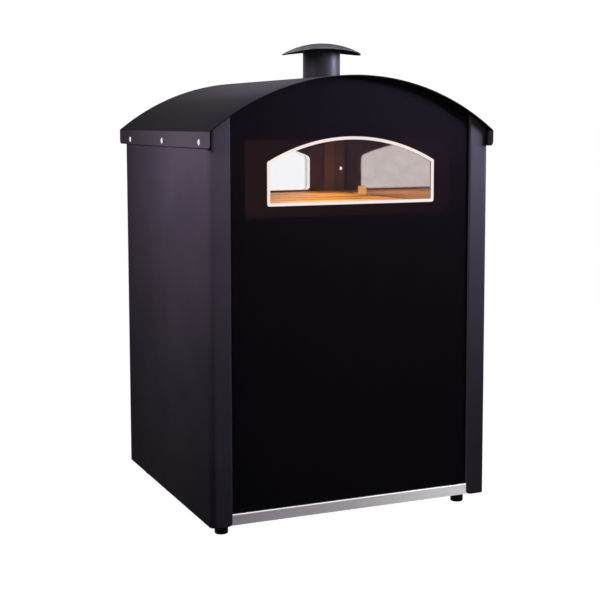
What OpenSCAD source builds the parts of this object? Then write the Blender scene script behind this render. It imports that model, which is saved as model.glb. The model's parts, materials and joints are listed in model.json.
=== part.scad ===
// Counter-top baked potato oven: a fan oven below and a lit, heated display above it.
// Millimetres, +Z up, the customer's side towards -Y, standing on z = 0 and centred on the origin.
// Inside the modules y is measured from the front faces of the posts.

/* [Casing] */
// Width over the side panels
body_w = 500; // [470:1:600]
// Depth from the front faces of the posts to the rear face
body_d = 464; // [440:1:600]
// Thickness of the casing sheet
sheet_t = 1.5; // [1:0.1:2]
// Outer radius of the rounded vertical corners
bend_r = 10; // [7:0.5:14]
// Width of each post
post_w = 36; // [30:1:44]
// Outer radius of the small bend along the inner edge of a front post
post_bend_r = 2.5; // [2:0.1:3]
// Radius of the cut lower inner corner of a front post
post_corner_r = 8; // [4:1:12]
// Thickness of the liner and inner sheets
liner_t = 1; // [0.8:0.1:1.5]
// Depth of the rockwool round the oven and the display
insulation_t = 22; // [15:1:30]

/* [Roof] */
// Rise of the arch above the fold line
roof_rise = 89; // [70:1:120]
// Overhang in front of the posts
roof_front = 12; // [4:1:20]
// Overhang behind the rear face
roof_rear = 30; // [15:1:40]
// Height of the folded side lip
lip_h = 26; // [23:1:40]
// Radius of the cut corners of the lip
lip_corner_r = 8; // [3:1:12]
// Outer radius of the fold between roof and lip
roof_fold_r = 3; // [2:0.5:6]
// Drop of the roof screws below the fold
screw_drop = 17; // [15:1:19]
// Distance of the end screws from the front and rear faces
screw_inset = 40; // [25:1:80]
// Head radius of the roof screws
screw_head_r = 5.5; // [4:0.5:7]

/* [Chimney] */
// Outer diameter of the tube
chimney_d = 63; // [50:1:80]
// Height of the tube above the crown of the roof
chimney_h = 45.5; // [30:0.5:80]
// Distance of its axis from the front face
chimney_y = 131; // [100:1:300]
// Diameter of the domed cap
cap_d = 133; // [100:1:150]
// Drop of the cap towards its sides
cap_sag = 18; // [12:0.5:22]
// Drop of the cap towards its front and rear
cap_end_sag = 10.5; // [6:0.5:12]
// Turn of the cap on its tube
cap_turn = -18; // [-45:1:45]
// Gap between tube and cap at the crown
cap_gap = 9.7; // [8.5:0.1:16]

/* [Front] */
// Recess of the front glass behind the post faces
glass_recess = 5; // [4:0.5:8]
// Thickness of the front glass
glass_t = 4; // [3:0.5:6]
// Width of the arched window
window_w = 299; // [240:1:310]
// Height of the window sill above the display floor
window_sill = 25; // [24:1:40]
// Height of the straight sides of the window
window_side = 70; // [50:0.5:72]
// Rise of the window arch
window_rise = 39.5; // [25:0.5:42]
// Radius of the lower corners of the window
window_corner_r = 4; // [1:0.5:8]
// Width of the lit border round the window
light_w = 5; // [3:0.5:8]
// Depth of the lit border behind the glass
light_t = 4; // [3:0.5:6]
// Height of the steel strip below the glass
trim_h = 19; // [14:1:30]

/* [Heights] */
// Height of the feet
foot_h = 22; // [15:1:40]
// Diameter of the feet
foot_d = 22; // [18:1:32]
// Distance of the feet from the front and rear faces
foot_inset_y = 41; // [28:1:70]
// Distance of the feet from the outside of the sides
foot_inset_x = 31; // [24:1:60]
// Height of the control bay
control_h = 88; // [84:1:110]
// Height of the oven cavity
oven_h = 346; // [310:1:450]
// Height of the display compartment
display_h = 142; // [140:1:170]

/* [Display] */
// Gap from the outside of the casing to the display's side walls
display_side = 71.6; // [70:0.1:90]
// Height of the hot plate above the display floor
plate_h = 21; // [18:0.5:24]
// Gap between the hot plate and the side walls
plate_gap = 2.4; // [1:0.1:6]
// Radius of the heating rod below the hot plate
rod_r = 3.25; // [2.5:0.25:4]
// Radius of the long bend of that rod
rod_bend_r = 60; // [40:1:80]
// Lamp positions from the centre line
lamp_x = 150; // [130:1:160]
// Lamp positions from the front face
lamp_y = 40; // [32:1:60]

/* [Oven] */
// Gap from the outside of the casing to the oven's side walls
oven_side = 85; // [82:1:110]
// Distance of the oven's end wall from the front face
oven_end = 80; // [76:1:120]
// Radius of the fan wheel
fan_r = 75; // [60:1:85]
// Depth of the fan blades
blade_depth = 20; // [14:1:24]
// Number of fan blades
blade_count = 9; // [6:1:12]
// Radius of the fan shaft
shaft_r = 4; // [3:0.5:5]
// Radius of the ring element's rod
ring_rod_r = 4; // [3:0.5:5]
// Distance of the fan cover from the oven's end wall
cover_depth = 37; // [34:1:50]
// Number of racks
rack_count = 3; // [3:1:3]
// Height of the lowest rack above the oven floor
rack_first = 50; // [36:1:70]
// Spacing of the racks
rack_pitch = 96; // [70:1:110]
// Radius of the rack frame wire
wire_r = 3; // [2.5:0.25:4]
// Radius of the thin rack wires
thin_wire_r = 1.75; // [1.25:0.25:2.5]
// Number of thin wires in a rack
wire_count = 11; // [7:1:15]

/* [Doors] */
// Thickness of the doors outside the rear frame
door_t = 16; // [15:0.5:19]
// Gap between door and rear frame
door_seal = 2.5; // [2.2:0.1:3]
// Overlap of the doors over their openings
door_lap = 8; // [7:1:9]
// Gap at the sides between doors and posts
door_side_gap = 5; // [3:0.5:9]
// Depth of the door's plug into its opening
plug_depth = 8; // [6:0.5:9]
// Gap between the plug and the opening
plug_gap = 4; // [3:0.5:6]
// Radius of the folds along a door's edges
door_fold_r = 3; // [2:0.5:4]
// Width of the frame beside the display opening
stile_w = 22.4; // [18:0.2:30]
// Frame between the plug's edge and the door window
door_window_margin = 30; // [24:1:45]
// Height of the straight sides of the door window
door_window_side = 66; // [50:1:70]
// Rise of the door window's arch
door_window_rise = 25.4; // [15:0.2:26]
// Radius of the hinge pins
pin_r = 4; // [3:0.25:4.5]
// Distance of the hinge axis from the door's edge
pin_inset = 6; // [6:0.25:6.5]
// Thickness of the hinge brackets
bracket_t = 3; // [2:0.5:4]
// Radius of the handle bar
handle_r = 6; // [5:0.5:8]
// Reach of the handles from the door's face
handle_reach = 36; // [32:1:50]
// Length of the oven door handle
oven_handle_l = 170; // [120:1:240]
// Length of the display door handle
display_handle_l = 90; // [70:1:110]

/* [Controls] */
// Radius of the knobs
knob_r = 20; // [16:0.5:24]
// Height of the knobs
knob_h = 18; // [14:1:24]
// Radius of the knob spindles
spindle_r = 3; // [2.5:0.25:3.5]
// Distance of the thermostat knob from the centre line
thermostat_x = -60; // [-75:1:-45]
// Distance of the timer knob from the centre line
timer_x = 30; // [20:1:45]
// Distance of the power switch from the centre line
power_x = -165; // [-175:1:-150]
// Distance of the light switch from the centre line
light_x = -125; // [-130:1:-115]
// Width of a switch rocker
rocker_w = 16; // [14:0.5:18]
// Height of a switch rocker
rocker_h = 26; // [22:0.5:30]
// Tilt of a rocker to each side
rocker_tilt = 9; // [6:1:12]
// Radius of the hole through the cable gland
gland_bore_r = 4.5; // [3.5:0.25:5.5]

/* [Hidden] */
$fn = 96;

// Clearances
fit = 0.3;          // between a piece and its seat
lap = 0.1;          // between sheets that lie on each other
run = 0.05;         // radial running clearance of pins and shafts
gap = 2;            // between a shaft and a hole that it only passes
past = 1;           // how far a cutting shape reaches past a face

// Widths from the centre line
half_w = body_w / 2;
wall_x = half_w - sheet_t;
sheet_x = half_w - bend_r - lap;
roof_x = half_w + lap + sheet_t;
post_x = half_w - post_w;
glass_x = half_w - bend_r - 2;
display_x = half_w - display_side;
oven_x = half_w - oven_side;
door_x = post_x - door_side_gap;
display_hole_x = display_x - stile_w;
hinge_x = door_x - pin_inset;

// Heights
base_z = foot_h;
shelf_z = base_z + control_h;
oven_z = shelf_z + insulation_t + liner_t;
oven_top = oven_z + oven_h;
display_z = oven_top + liner_t + insulation_t + liner_t;
display_top = display_z + display_h;
fold_z = display_top + liner_t + 0.5;
crown_z = fold_z + roof_rise;
pan_z = base_z + 2;
trim_top = base_z + trim_h;
plate_z = display_z + plate_h;
sill_z = display_z + window_sill;
spring_z = sill_z + window_side;
display_hole_z = display_z + 2;
display_hole_top = display_top - 10;
oven_door_z = oven_z - door_lap;
oven_door_top = oven_top + door_lap;
display_door_z = display_hole_z - door_lap;
display_door_top = display_hole_top + door_lap;
fan_z = oven_z + oven_h / 2;
control_z = base_z + control_h / 2;

// Depths from the front faces of the posts
glass_y = glass_recess;
mask_y = glass_y + glass_t;
mask_t = 0.5;
panel_y = mask_y + light_t;
panel_t = 1.2;
liner_y = panel_y + panel_t;
rear_y = body_d - sheet_t;
frame_y = rear_y - panel_t;
bay_y = rear_y - sheet_t - lap;
door_y = rear_y + door_seal;
door_face = door_y + door_t;
hinge_y = door_y + 9.5;
plug_y = door_y - plug_depth - door_seal;
fan_y = oven_end + 5;
cover_y = oven_end + cover_depth;
motor_y = oven_end - liner_t - insulation_t;
handle_y = door_face + handle_reach;
reach_front = roof_front;
face_y = (reach_front - handle_y) / 2;

// Chimney and its domed cap
cap_arch_r = arch_r(cap_d / 2, cap_sag);
cap_long_r = arch_r(cap_d / 2, cap_end_sag);
tube_r = chimney_d / 2;
tube_top = crown_z + chimney_h;
cap_under = tube_top + cap_gap;
tab_x = tube_r - 1.2 * sheet_t;
tab_top = cap_under - cap_arch_r + sqrt(cap_arch_r * cap_arch_r - tab_x * tab_x) - lap;

// Small parts
screw_r = 2;
stud_r = 4;
stud_h = 14;
clip_l = 34;
clip_h = 14;
clip_rear = 147;
holder_r = 9;
holder_h = 14;
bulb_r = 5;
bulb_seat = 10;
bulb_l = 18;
tab_w = 10;
tab_l = 18;
motor_boss_r = 11;
ring_r = fan_r + 17;
sleeve_r = ring_rod_r + 1;
rack_x = oven_x - 8;
rack_front = cover_y + 8;
rack_rear = plug_y - 6;

// Doors and hinges
pin_l = 12;
bush_l = 14;
pane_t = 4;
pane_y = door_y + 5;
handle_x = -door_x + 26;
middle_bracket_z = (oven_door_top + display_door_z - bracket_t) / 2;
bracket_z = [oven_door_z - fit - bracket_t, middle_bracket_z, display_door_top + fit];

// Controls
panel_z = base_z + 3;
panel_top = shelf_z - fit;
panel_screw_x = post_x - 10;
panel_screw_z = [panel_z + 18, panel_top - 18];
panel_screw_l = 6;
bush_r = 5;
spindle_l = 34;
rocker_axis = rear_y - 1;
lamp_r = 5;
lamp_body = 14;
power_lamp_x = thermostat_x - 30;
heat_lamp_x = timer_x + 45;
gland_r = 8;
gland_from_screws = 39;
gland_x = panel_screw_x - gland_from_screws;

// Radius of an arch of a given half width and rise
function arch_r(half, rise) = (half * half + rise * rise) / (2 * rise);

module in_frame() translate([0, face_y, 0]) children();

// Box between two corners
module block(low, high) translate(low) cube(high - low);

// Solid from a shape drawn in x and z, standing from y to y + t
module slab(y, t) translate([0, y + t, 0]) rotate([90, 0, 0]) linear_extrude(t) children();

// Solid from a shape drawn in y and z, from x to x + w
module across(x, w) translate([x, 0, 0]) rotate([90, 0, 90]) linear_extrude(w) children();

// Cylinder along y from y0 to y1
module bar_y(x, z, r, y0, y1) translate([x, y0, z]) rotate([-90, 0, 0]) cylinder(r = r, h = y1 - y0);

// Cylinder along x from x0 to x1
module bar_x(y, z, r, x0, x1) translate([x0, y, z]) rotate([0, 90, 0]) cylinder(r = r, h = x1 - x0);

module both_sides() {
    children();
    mirror([1, 0, 0]) children();
}

// Quarter of a ring: the outside of a fold, in the quadrant of qx and qy
module fold(x, y, r, t, qx, qy)
    translate([x, y])
    intersection() {
        difference() {
            circle(r);
            circle(r - t);
        }
        translate([qx > 0 ? 0 : -r, qy > 0 ? 0 : -r]) square(r);
    }

// Rectangle centred in x, with round corners
module panel_2d(half, low, high, r) {
    translate([-half, low + r]) square([2 * half, high - low - 2 * r]);
    translate([-half + r, low]) square([2 * (half - r), high - low]);
    for (x = [-half + r, half - r], z = [low + r, high - r])
        translate([x, z]) circle(r);
}

// Upright shape with an arched top: straight sides to spring, then an arc that rises by rise.
// inset moves its whole outline inwards.
module crowned(half, low, spring, rise, low_r = 0, top_r = 0, inset = 0) {
    big = arch_r(half, rise);
    centre = spring + rise - big;
    tr = max(top_r, inset);
    lr = max(low_r, inset);
    tx = half - tr;
    tz = centre + sqrt((big - tr) * (big - tr) - tx * tx);
    join = tx * (big - inset) / (big - tr);
    translate([-half + inset, low + lr]) square([2 * (half - inset), tz - low - lr]);
    translate([-half + lr, low + inset]) square([2 * (half - lr), tz - low - inset]);
    if (lr > inset)
        for (x = [-half + lr, half - lr]) translate([x, low + lr]) circle(lr - inset);
    if (tr > inset)
        for (x = [-tx, tx]) translate([x, tz]) circle(tr - inset);
    intersection() {
        translate([0, centre]) circle(big - inset, $fn = 360);
        translate([-join, low + lr]) square([2 * join, spring + rise - low]);
    }
}

// Everything under the roof sheet, from a given height up
module under_roof(low, clear)
    crowned(roof_x, low, fold_z, roof_rise, 0, roof_fold_r, sheet_t + clear);

// Casing

module roof_screw_places()
    for (y = [screw_inset, body_d / 2, body_d - screw_inset])
        translate([half_w, y, fold_z - screw_drop]) rotate([0, 90, 0]) children();

module side_panel() {
    difference() {
        intersection() {
            translate([0, 0, base_z]) linear_extrude(crown_z - base_z) side_outline();
            slab(-past, body_d + 2 * past) under_roof(base_z - 5, lap);
        }
        // the front return stops above the steel strip, and its lower corner is round
        block([post_x - past, sheet_t, base_z - past],
              [half_w - bend_r, glass_y, trim_top + fit]);
        slab(-past, sheet_t + 2 * past)
            translate([post_x, base_z]) difference() {
                translate([-past, -past]) square(post_corner_r + past);
                translate([post_corner_r, post_corner_r]) circle(post_corner_r);
            }
        roof_screw_places() translate([0, 0, -2 * sheet_t]) cylinder(r = screw_r + lap, h = 3 * sheet_t);
    }
}

// Plan of a side panel: post, wall and rear return, in one folded sheet
module side_outline() {
    translate([wall_x, bend_r]) square([sheet_t, body_d - 2 * bend_r]);
    fold(half_w - bend_r, bend_r, bend_r, sheet_t, 1, -1);
    fold(half_w - bend_r, body_d - bend_r, bend_r, sheet_t, 1, 1);
    translate([post_x + post_bend_r, 0]) square([post_w - bend_r - post_bend_r, sheet_t]);
    fold(post_x + post_bend_r, post_bend_r, post_bend_r, sheet_t, -1, -1);
    translate([post_x, post_bend_r]) square([sheet_t, glass_y - fit - post_bend_r]);
    translate([post_x, body_d - sheet_t]) square([post_w - bend_r, sheet_t]);
}

module side_panel_left() color("dimgray") in_frame() mirror([1, 0, 0]) side_panel();

module side_panel_right() color("dimgray") in_frame() side_panel();

module roof_cover() color([0.3, 0.3, 0.32]) in_frame() difference() {
    intersection() {
        slab(-roof_front, roof_front + body_d + roof_rear) difference() {
            crowned(roof_x, fold_z - lip_h, fold_z, roof_rise, 0, roof_fold_r);
            translate([0, -past]) crowned(roof_x, fold_z - lip_h - sheet_t, fold_z + past,
                roof_rise, 0, roof_fold_r, sheet_t);
        }
        across(-roof_x - past, 2 * (roof_x + past)) lip_outline();
    }
    both_sides() roof_screw_places() translate([0, 0, -past]) cylinder(r = screw_r + lap, h = 3 * sheet_t);
    translate([0, chimney_y, fold_z]) cylinder(r = tube_r + lap, h = roof_rise + past);
}

// Side view of the roof: a lip with round lower corners
module lip_outline() {
    low = fold_z - lip_h;
    front = -roof_front;
    rear = body_d + roof_rear;
    translate([front, low + lip_corner_r]) square([rear - front, crown_z - low]);
    translate([front + lip_corner_r, low]) square([rear - front - 2 * lip_corner_r, lip_corner_r + past]);
    for (y = [front + lip_corner_r, rear - lip_corner_r])
        translate([y, low + lip_corner_r]) circle(lip_corner_r);
}

module roof_screws() color("white") in_frame() both_sides() roof_screw_places() {
    translate([0, 0, -2 * sheet_t - 2]) cylinder(r = screw_r, h = 3 * sheet_t + 2);
    translate([0, 0, sheet_t + lap]) dome(screw_head_r, 2.6);
}

// Dome head standing on z = 0
module dome(r, h) intersection() {
    translate([0, 0, h - arch_r(r, h)]) sphere(r = arch_r(r, h));
    cylinder(r = r + past, h = h + past);
}

module chimney_tube() color([0.25, 0.25, 0.27]) in_frame() {
    translate([0, chimney_y, 0]) difference() {
        translate([0, 0, display_top + liner_t]) cylinder(r = tube_r, h = tube_top - display_top - liner_t);
        translate([0, 0, display_top]) cylinder(r = tube_r - sheet_t, h = tube_top - display_top + past);
    }
    // two welded tabs carry the cap
    translate([0, chimney_y, 0]) rotate(cap_turn) both_sides()
        block([tab_x - sheet_t, -tab_w / 2, tube_top - tab_l], [tab_x, tab_w / 2, tab_top]);
}

// Solid of revolution with the bends of the cap's underside, raised by t
module cap_form(t) translate([0, 0, -cap_long_r]) rotate([0, 90, 0])
    rotate_extrude($fn = 180) intersection() {
        translate([cap_long_r - cap_arch_r, 0]) circle(cap_arch_r + t, $fn = 180);
        translate([cap_long_r - cap_sag - 4, -cap_d]) square([cap_d, 2 * cap_d]);
    }

module chimney_cap() color([0.2, 0.2, 0.22]) in_frame()
    translate([0, chimney_y, cap_under]) rotate(cap_turn) intersection() {
        translate([0, 0, -2 * cap_sag]) cylinder(r = cap_d / 2, h = 3 * cap_sag);
        difference() {
            cap_form(sheet_t);
            cap_form(0);
        }
    }

// Front

// Outline shared by the glass and its print
module glass_outline() intersection() {
    under_roof(base_z, 1);
    translate([-glass_x, base_z + 2 * fit + liner_t]) square([2 * glass_x, crown_z]);
}

module window_outline(inset)
    crowned(window_w / 2, sill_z, spring_z, window_rise, window_corner_r, 1, inset);

module front_glass() color([0.05, 0.05, 0.06, 0.5]) in_frame() slab(glass_y, glass_t) glass_outline();

module front_mask() color("black") in_frame() slab(mask_y, mask_t) difference() {
    glass_outline();
    window_outline(0);
}

module window_light() color("mistyrose") in_frame() slab(mask_y, light_t) difference() {
    window_outline(0);
    window_outline(light_w);
}

module front_panel() color([0.15, 0.15, 0.16]) in_frame() slab(panel_y, panel_t) difference() {
    intersection() {
        under_roof(base_z, 1);
        translate([-wall_x + lap, base_z + 2 * fit + liner_t]) square([2 * (wall_x - lap), crown_z]);
    }
    panel_2d(display_x, display_z + 6, spring_z + 22, 4);
    window_outline(-3);
}

// Strip in front of the glass: a lip over its foot, a face, and a seat below it
module bottom_trim() color("silver") in_frame() across(-post_x - 12, 2 * (post_x + 12)) {
    y = sheet_t + lap;
    r = 1.5;
    low = base_z + fit;
    translate([y, low + r]) square([liner_t, trim_top - low - 2 * r]);
    fold(y + r, trim_top - r, r, liner_t, -1, 1);
    translate([y + r, trim_top - liner_t]) square([glass_y - fit - y - r, liner_t]);
    fold(y + r, low + r, r, liner_t, -1, -1);
    translate([y + r, low]) square([panel_y + panel_t - y - r, liner_t]);
}

// Base

module foot_places()
    for (x = [-half_w + foot_inset_x, half_w - foot_inset_x], y = [foot_inset_y, body_d - foot_inset_y])
        translate([x, y, 0]) children();

// Plan of a deck inside the casing, its corners round to suit the casing's folds
module deck_2d(inset) {
    x = wall_x - lap - inset;
    translate([0, liner_y + inset]) panel_2d(x, 0, bay_y - liner_y - 2 * inset, bend_r - sheet_t - inset);
}

module base_pan() color([0.3, 0.3, 0.3]) in_frame() difference() {
    pan_wall = 12;
    translate([0, 0, pan_z]) linear_extrude(pan_wall) deck_2d(0);
    translate([0, 0, pan_z + sheet_t]) linear_extrude(pan_wall) deck_2d(sheet_t);
    foot_places() cylinder(r = stud_r + lap, h = pan_z + 2 * sheet_t);
    for (x = [-90:30:90], y = [body_d / 2 - 60, body_d / 2 + 60])
        translate([x - 4, y - 30, base_z]) cube([8, 60, 10]);
}

// Rubber foot with a moulded-in stud and its nut above the pan
module feet() color([0.1, 0.1, 0.1]) in_frame() foot_places() {
    edge = 2;
    rotate_extrude() {
        square([foot_d / 2 - edge, pan_z]);
        translate([0, edge]) square([foot_d / 2, pan_z - edge - 4]);
        translate([foot_d / 2 - edge, edge]) circle(edge);
        translate([0, pan_z - 4]) square([foot_d / 2 - 1.5, 4]);
    }
    cylinder(r = stud_r, h = pan_z + stud_h);
    translate([0, 0, pan_z + sheet_t]) cylinder(r = 7.5, h = 6, $fn = 6);
}

// Deck between the control bay and the oven
module oven_shelf() color("silver") in_frame() difference() {
    wall = 15;
    translate([0, 0, shelf_z - wall]) linear_extrude(wall) deck_2d(0);
    translate([0, 0, shelf_z - wall - sheet_t]) linear_extrude(wall) deck_2d(sheet_t);
}

// Display compartment

module display_liner() color("lightgray") in_frame() difference() {
    slab(liner_y, frame_y - liner_y) difference() {
        panel_2d(display_x + liner_t, display_z - liner_t, display_top + liner_t, 3);
        panel_2d(display_x, display_z, display_top, 2);
    }
    translate([0, chimney_y, display_top - past]) cylinder(r = tube_r - sheet_t - lap, h = 5 * liner_t);
}

// Dome screws that hold the side walls near the rear
module liner_screws() color("gold") in_frame() both_sides()
    translate([display_x, frame_y - 31, display_z + 66]) rotate([0, -90, 0]) dome(3.5, 2);

// Folded plate that the potatoes are shown on
module hot_plate() color([0.75, 0.6, 0.4]) in_frame() {
    x = display_x - plate_gap;
    r = 3;
    slab(liner_y + 6, frame_y - plug_depth - liner_y - 8) {
        translate([-x + r, plate_z - sheet_t]) square([2 * (x - r), sheet_t]);
        for (side = [-1, 1]) {
            fold(side * (x - r), plate_z - r, r, sheet_t, side, 1);
            translate([side * (x - sheet_t / 2) - sheet_t / 2, display_z]) square([sheet_t, plate_h - r]);
        }
    }
}

// Folded clips on the side walls that keep the hot plate down
module plate_clips() color("goldenrod") in_frame() both_sides() {
    y = body_d - clip_rear;
    foot = display_x - plate_gap - clip_h / 2;
    block([display_x - liner_t, y, plate_z + fit], [display_x, y + clip_l, plate_z + clip_h]);
    block([foot, y, plate_z + fit], [display_x, y + clip_l, plate_z + fit + liner_t]);
}

// Rod under the hot plate, on two saddles
module display_element() color([0.4, 0.3, 0.25]) in_frame() {
    z = display_z + 8;
    front = liner_y + 20 + rod_bend_r;
    rear = frame_y - 40;
    for (x = [-rod_bend_r, rod_bend_r]) bar_y(x, z, rod_r, front, rear);
    translate([0, front, z]) rotate([0, 0, 180]) rotate_extrude(angle = 180)
        translate([rod_bend_r, 0]) circle(rod_r);
    for (y = [front + 60, rear - 30], x = [-rod_bend_r, rod_bend_r])
        block([x - 6, y, display_z], [x + 6, y + 8, z]);
}

module lamp_places()
    for (x = [-lamp_x, lamp_x]) translate([x, lamp_y, display_top]) mirror([0, 0, 1]) children();

module lamp_holders() color("white") in_frame() lamp_places() difference() {
    cylinder(r = holder_r, h = holder_h);
    translate([0, 0, bulb_seat]) cylinder(r = bulb_r + 0.5, h = holder_h);
}

module lamp_bulbs() color("lightyellow") in_frame() lamp_places() {
    translate([0, 0, bulb_seat]) cylinder(r = bulb_r, h = bulb_l);
    translate([0, 0, bulb_seat + bulb_l]) sphere(r = bulb_r);
}

// Rockwool over and beside the display
module display_insulation() color("khaki") in_frame() difference() {
    x = display_x + liner_t;
    z = display_top + liner_t;
    block([-x - insulation_t, liner_y, display_z - liner_t], [x + insulation_t, frame_y, z + insulation_t]);
    block([-x, liner_y - past, display_z - 2 * liner_t], [x, frame_y + past, z]);
    translate([0, chimney_y, z - past]) cylinder(r = tube_r + lap, h = insulation_t + 2 * past);
}

// Oven

module oven_liner() color("lightgray") in_frame() difference() {
    slab(oven_end - liner_t, frame_y - oven_end + liner_t)
        panel_2d(oven_x + liner_t, oven_z - liner_t, oven_top + liner_t, 9);
    slab(oven_end, frame_y - oven_end + past) panel_2d(oven_x, oven_z, oven_top, 8);
    bar_y(0, fan_z, shaft_r + gap, oven_end - 3, oven_end + 3);
    ring_ends() bar_y(0, 0, sleeve_r + lap, oven_end - 3, oven_end + 3);
}

module oven_insulation() color("khaki") in_frame() difference() {
    x = oven_x + liner_t;
    block([-x - insulation_t, motor_y, shelf_z], [x + insulation_t, frame_y, display_z - liner_t]);
    slab(oven_end - liner_t, body_d) panel_2d(x, oven_z - liner_t, oven_top + liner_t, 9);
    bar_y(0, fan_z, motor_boss_r + 1, motor_y - past, oven_end);
    ring_ends() bar_y(0, 0, sleeve_r + lap, motor_y - past, oven_end);
}

// Motor on its plate, in front of the rockwool
module fan_motor() color([0.55, 0.55, 0.58]) in_frame() difference() {
    union() {
        slab(motor_y - sheet_t, sheet_t) panel_2d(60, fan_z - 45, fan_z + 45, 5);
        bar_y(0, fan_z, 30, liner_y + 4, motor_y - sheet_t);
        bar_y(0, fan_z, motor_boss_r, motor_y - sheet_t, motor_y + 6);
        for (a = [45:90:315])
            bar_y(24 * cos(a), fan_z + 24 * sin(a), 3, liner_y + 1, motor_y - sheet_t);
    }
    bar_y(0, fan_z, shaft_r + run, liner_y + 8, motor_y + 7);
}

module fan_shaft() color("silver") in_frame()
    bar_y(0, fan_z, shaft_r, liner_y + 9, fan_y + blade_depth - 2);

// Back plate, hub and curved blades
module fan_wheel() color("gainsboro") in_frame() difference() {
    union() {
        bar_y(0, fan_z, fan_r, fan_y, fan_y + sheet_t);
        bar_y(0, fan_z, 9, fan_y, fan_y + blade_depth);
        translate([0, 0, fan_z]) slab(fan_y, blade_depth)
            for (i = [0:blade_count - 1]) rotate(i * 360 / blade_count) blade_2d();
    }
    bar_y(0, fan_z, shaft_r, fan_y - past, fan_y + blade_depth + past);
}

// One blade, curved backwards between the eye and the rim
module blade_2d() intersection() {
    difference() {
        circle(fan_r - 1);
        circle(fan_r * 0.55);
    }
    translate([fan_r * 0.62, fan_r * 0.52]) difference() {
        circle(fan_r * 0.5);
        circle(fan_r * 0.5 - sheet_t);
    }
    translate([0, -fan_r * 0.2]) square([fan_r, fan_r * 0.55]);
}

// Places where the ring element passes the end wall
module ring_ends()
    for (a = [-75, -105]) translate([ring_r * cos(a), 0, fan_z + ring_r * sin(a)]) children();

module ring_element() color([0.35, 0.28, 0.25]) in_frame() {
    y = fan_y + blade_depth / 2;
    translate([0, y, fan_z]) rotate([90, 0, 0]) rotate([0, 0, -75]) rotate_extrude(angle = 330)
        translate([ring_r, 0]) circle(ring_rod_r);
    ring_ends() bar_y(0, 0, sleeve_r, motor_y - 12, y + sleeve_r);
}

// Cover between the fan and the racks: rings of slots to suck, slots at the sides to blow
module fan_cover() color("silver") in_frame() difference() {
    union() {
        slab(cover_y, liner_t) panel_2d(oven_x - 2, oven_z + 2, oven_top - 2, 6);
        both_sides() block([oven_x - 3 - liner_t, oven_end, oven_z + 12],
                           [oven_x - 3, cover_y + liner_t / 2, oven_top - 12]);
    }
    translate([0, 0, fan_z]) slab(cover_y - past, 3 * past) ring_slots();
    both_sides() for (i = [-2:2])
        translate([oven_x - 30, 0, fan_z + i * 50]) slab(cover_y - past, 3 * past) slot_2d(8, 36);
    both_sides() for (i = [-1:1])
        block([oven_x - 6, oven_end + 10, fan_z + i * 90 - 30], [oven_x, cover_y - 8, fan_z + i * 90 + 30]);
}

module ring_slots() difference() {
    for (r = [12:12:60]) difference() {
        circle(r + 3.5);
        circle(r - 3.5);
    }
    for (a = [45, 135]) rotate(a) square([150, 7], center = true);
}

// Upright slot with round ends
module slot_2d(w, h) {
    translate([-w / 2, -h / 2 + w / 2]) square([w, h - w]);
    for (z = [-h / 2 + w / 2, h / 2 - w / 2]) translate([0, z]) circle(w / 2);
}

// Wire rack: a round frame, two bearers and thin wires laid on them
module rack(level) {
    z = oven_z + rack_first + level * rack_pitch;
    corner = 12;
    x = rack_x - corner;
    for (side = [-1, 1]) bar_y(side * rack_x, z, wire_r, rack_front + corner, rack_rear - corner);
    for (y = [rack_front, rack_rear]) bar_x(y, z, wire_r, -x, x);
    for (i = [0:3])
        translate([i == 0 || i == 3 ? x : -x, i < 2 ? rack_rear - corner : rack_front + corner, z])
            rotate([0, 0, 90 * i]) rotate_extrude(angle = 90) translate([corner, 0]) circle(wire_r);
    for (y = [rack_front + 100, rack_rear - 100]) bar_x(y, z, wire_r - 0.5, -rack_x, rack_x);
    for (i = [1:wire_count])
        bar_y(-rack_x + i * 2 * rack_x / (wire_count + 1), z + wire_r, thin_wire_r, rack_front, rack_rear);
}

module rack_lower() color("silver") in_frame() rack(0);

module rack_middle() color("silver") in_frame() rack(1);

module rack_upper() color("silver") in_frame() rack(2);

// Side frames with a ledge under each rack
module rack_runners() color("gainsboro") in_frame() both_sides() {
    front = rack_front + 4;
    rear = rack_rear - 4;
    low = oven_z + 20;
    high = oven_z + rack_first + (rack_count - 1) * rack_pitch + 40;
    difference() {
        block([oven_x - lap - liner_t, front, low], [oven_x - lap, rear, high]);
        for (level = [0:rack_count - 1]) across(oven_x - 5, 6)
            translate([(front + rear) / 2, oven_z + rack_first + level * rack_pitch + 24])
                rotate(90) slot_2d(20, rear - front - 60);
    }
    for (level = [0:rack_count - 1]) {
        seat = oven_z + rack_first + level * rack_pitch - wire_r - lap;
        block([rack_x - 4, front, seat - sheet_t], [oven_x - lap - liner_t / 2, rear, seat]);
        block([rack_x - 4, front, seat - 5], [rack_x - 4 + liner_t, rear, seat]);
    }
}

// Shallow, with a low rim
module drip_tray() color("gainsboro") in_frame() {
    x = oven_x - 14;
    wall = 3;
    t = liner_t;
    difference() {
        block([-x, rack_front, oven_z], [x, rack_rear, oven_z + wall]);
        block([-x + t, rack_front + t, oven_z + t], [x - t, rack_rear - t, oven_z + wall + past]);
    }
}

// Rear

module rear_frame() color([0.7, 0.7, 0.7]) in_frame() slab(frame_y, panel_t) difference() {
    intersection() {
        under_roof(shelf_z, 1);
        translate([-sheet_x, shelf_z]) square([2 * sheet_x, crown_z]);
    }
    panel_2d(display_hole_x, display_hole_z, display_hole_top, 5);
    panel_2d(oven_x, oven_z, oven_top, 8);
    // vents in the gable
    for (row = [0:2], i = [-2 + row / 2:2 - row / 2])
        translate([i * 56, display_door_top + 24 + row * 14]) rotate(90) slot_2d(5, 40);
}

module oven_gasket() color([0.3, 0.12, 0.1]) in_frame() slab(rear_y, door_seal - fit) difference() {
    panel_2d(oven_x + door_lap - 1, oven_z - door_lap + 1, oven_top + door_lap - 1, 8);
    panel_2d(oven_x + 1, oven_z - 1, oven_top + 1, 8);
}

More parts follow.
